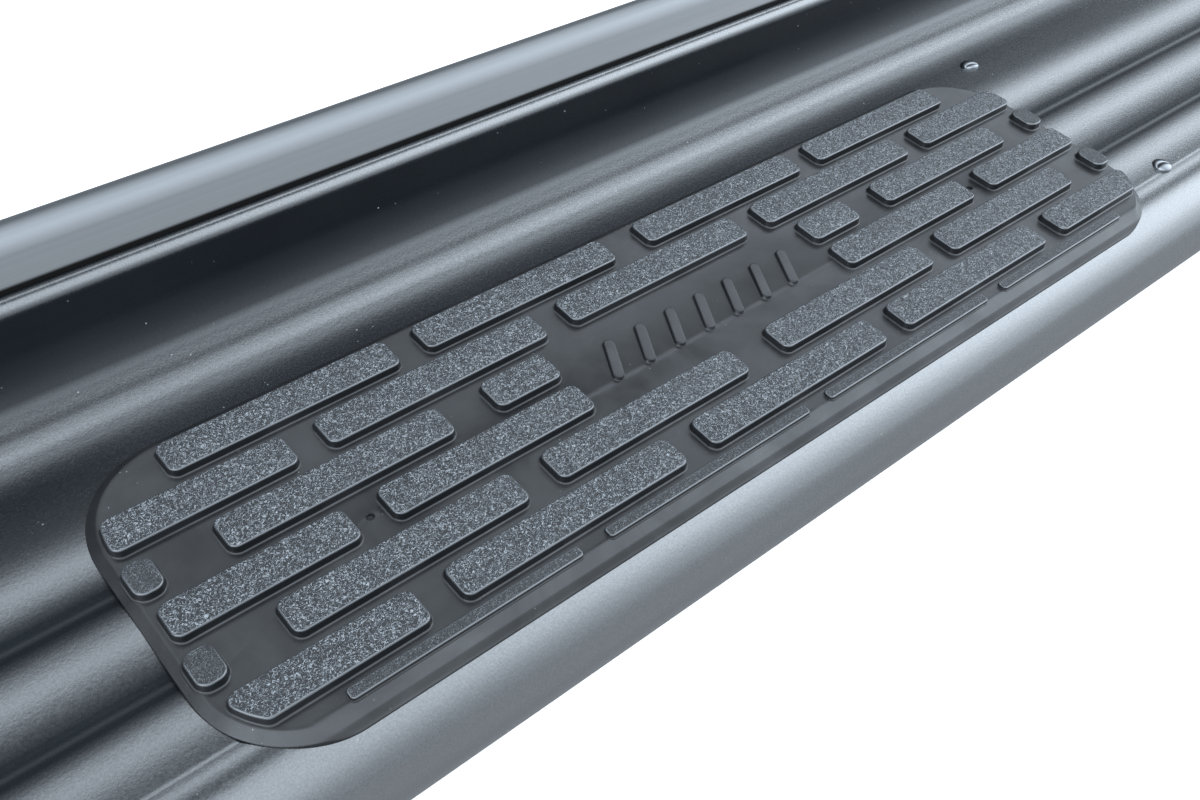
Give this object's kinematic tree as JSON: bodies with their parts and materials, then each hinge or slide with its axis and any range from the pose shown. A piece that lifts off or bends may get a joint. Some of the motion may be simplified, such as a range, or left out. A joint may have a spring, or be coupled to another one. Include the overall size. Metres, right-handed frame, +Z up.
{
  "type": "running board",
  "caption": "Long black vehicle running board with a ridged deck, rolled nose, rear upstand with rubber seal, moulded step pads and adjustable slotted brackets.",
  "frame": {"origin": "mid-length, on the plane of the deck's ridge tops, 12.4 mm towards the vehicle from the middle ridge's top line", "axes": "+X along the board, +Y towards the vehicle body, +Z up"},
  "size_m": [2, 0.3027, 0.13],
  "materials": {
    "deck_coat": "black powder coat with a fine texture, satin",
    "bracket_coat": "black electro-coat, semi-matt",
    "seal_rubber": "extruded rubber with fine lengthwise lines",
    "isolator_rubber": "matt moulded rubber",
    "pad_plastic": "charcoal moulded plastic, satin floor and grained tread blocks",
    "cap_plastic": "black moulded plastic, fine grain",
    "rivet_polish": "polished stainless steel",
    "zinc_steel": "bright zinc plate",
    "spring_steel": "dark phosphated spring steel"
  },
  "bodies": {
    "board": {"deck_panel": "deck_coat", "rear_seal_strip": "seal_rubber", "seal_carrier": "spring_steel", "front_step_pad": "pad_plastic", "rear_step_pad": "pad_plastic", "front_pad_push_nuts": "spring_steel", "rear_pad_push_nuts": "spring_steel", "front_end_cap": "cap_plastic", "rear_end_cap": "cap_plastic", "end_cap_screws": "zinc_steel", "deck_rivets": "rivet_polish", "rivet_backing_washers": "zinc_steel", "support_saddle_1": "bracket_coat", "support_saddle_2": "bracket_coat", "support_saddle_3": "bracket_coat", "support_saddle_4": "bracket_coat"},
    "bracket_1": {"bracket_arm_1": "bracket_coat", "bracket_foot_1": "bracket_coat", "bracket_gusset_1": "bracket_coat", "foot_isolator_1": "isolator_rubber", "saddle_bolts_1": "zinc_steel", "saddle_washers_1": "zinc_steel", "saddle_lock_washers_1": "spring_steel", "saddle_nuts_1": "zinc_steel"},
    "bracket_2": {"bracket_arm_2": "bracket_coat", "bracket_foot_2": "bracket_coat", "bracket_gusset_2": "bracket_coat", "foot_isolator_2": "isolator_rubber", "saddle_bolts_2": "zinc_steel", "saddle_washers_2": "zinc_steel", "saddle_lock_washers_2": "spring_steel", "saddle_nuts_2": "zinc_steel"},
    "bracket_3": {"bracket_arm_3": "bracket_coat", "bracket_foot_3": "bracket_coat", "bracket_gusset_3": "bracket_coat", "foot_isolator_3": "isolator_rubber", "saddle_bolts_3": "zinc_steel", "saddle_washers_3": "zinc_steel", "saddle_lock_washers_3": "spring_steel", "saddle_nuts_3": "zinc_steel"},
    "bracket_4": {"bracket_arm_4": "bracket_coat", "bracket_foot_4": "bracket_coat", "bracket_gusset_4": "bracket_coat", "foot_isolator_4": "isolator_rubber", "saddle_bolts_4": "zinc_steel", "saddle_washers_4": "zinc_steel", "saddle_lock_washers_4": "spring_steel", "saddle_nuts_4": "zinc_steel"}
  },
  "joints": [
    {"name": "bracket_1_slide", "type": "slide", "parent": "board", "child": "bracket_1", "axis": [0, 1, 0], "range_m": [-0.008, 0.008]},
    {"name": "bracket_2_slide", "type": "slide", "parent": "board", "child": "bracket_2", "axis": [0, 1, 0], "range_m": [-0.008, 0.008]},
    {"name": "bracket_3_slide", "type": "slide", "parent": "board", "child": "bracket_3", "axis": [0, 1, 0], "range_m": [-0.008, 0.008]},
    {"name": "bracket_4_slide", "type": "slide", "parent": "board", "child": "bracket_4", "axis": [0, 1, 0], "range_m": [-0.008, 0.008]}
  ]
}
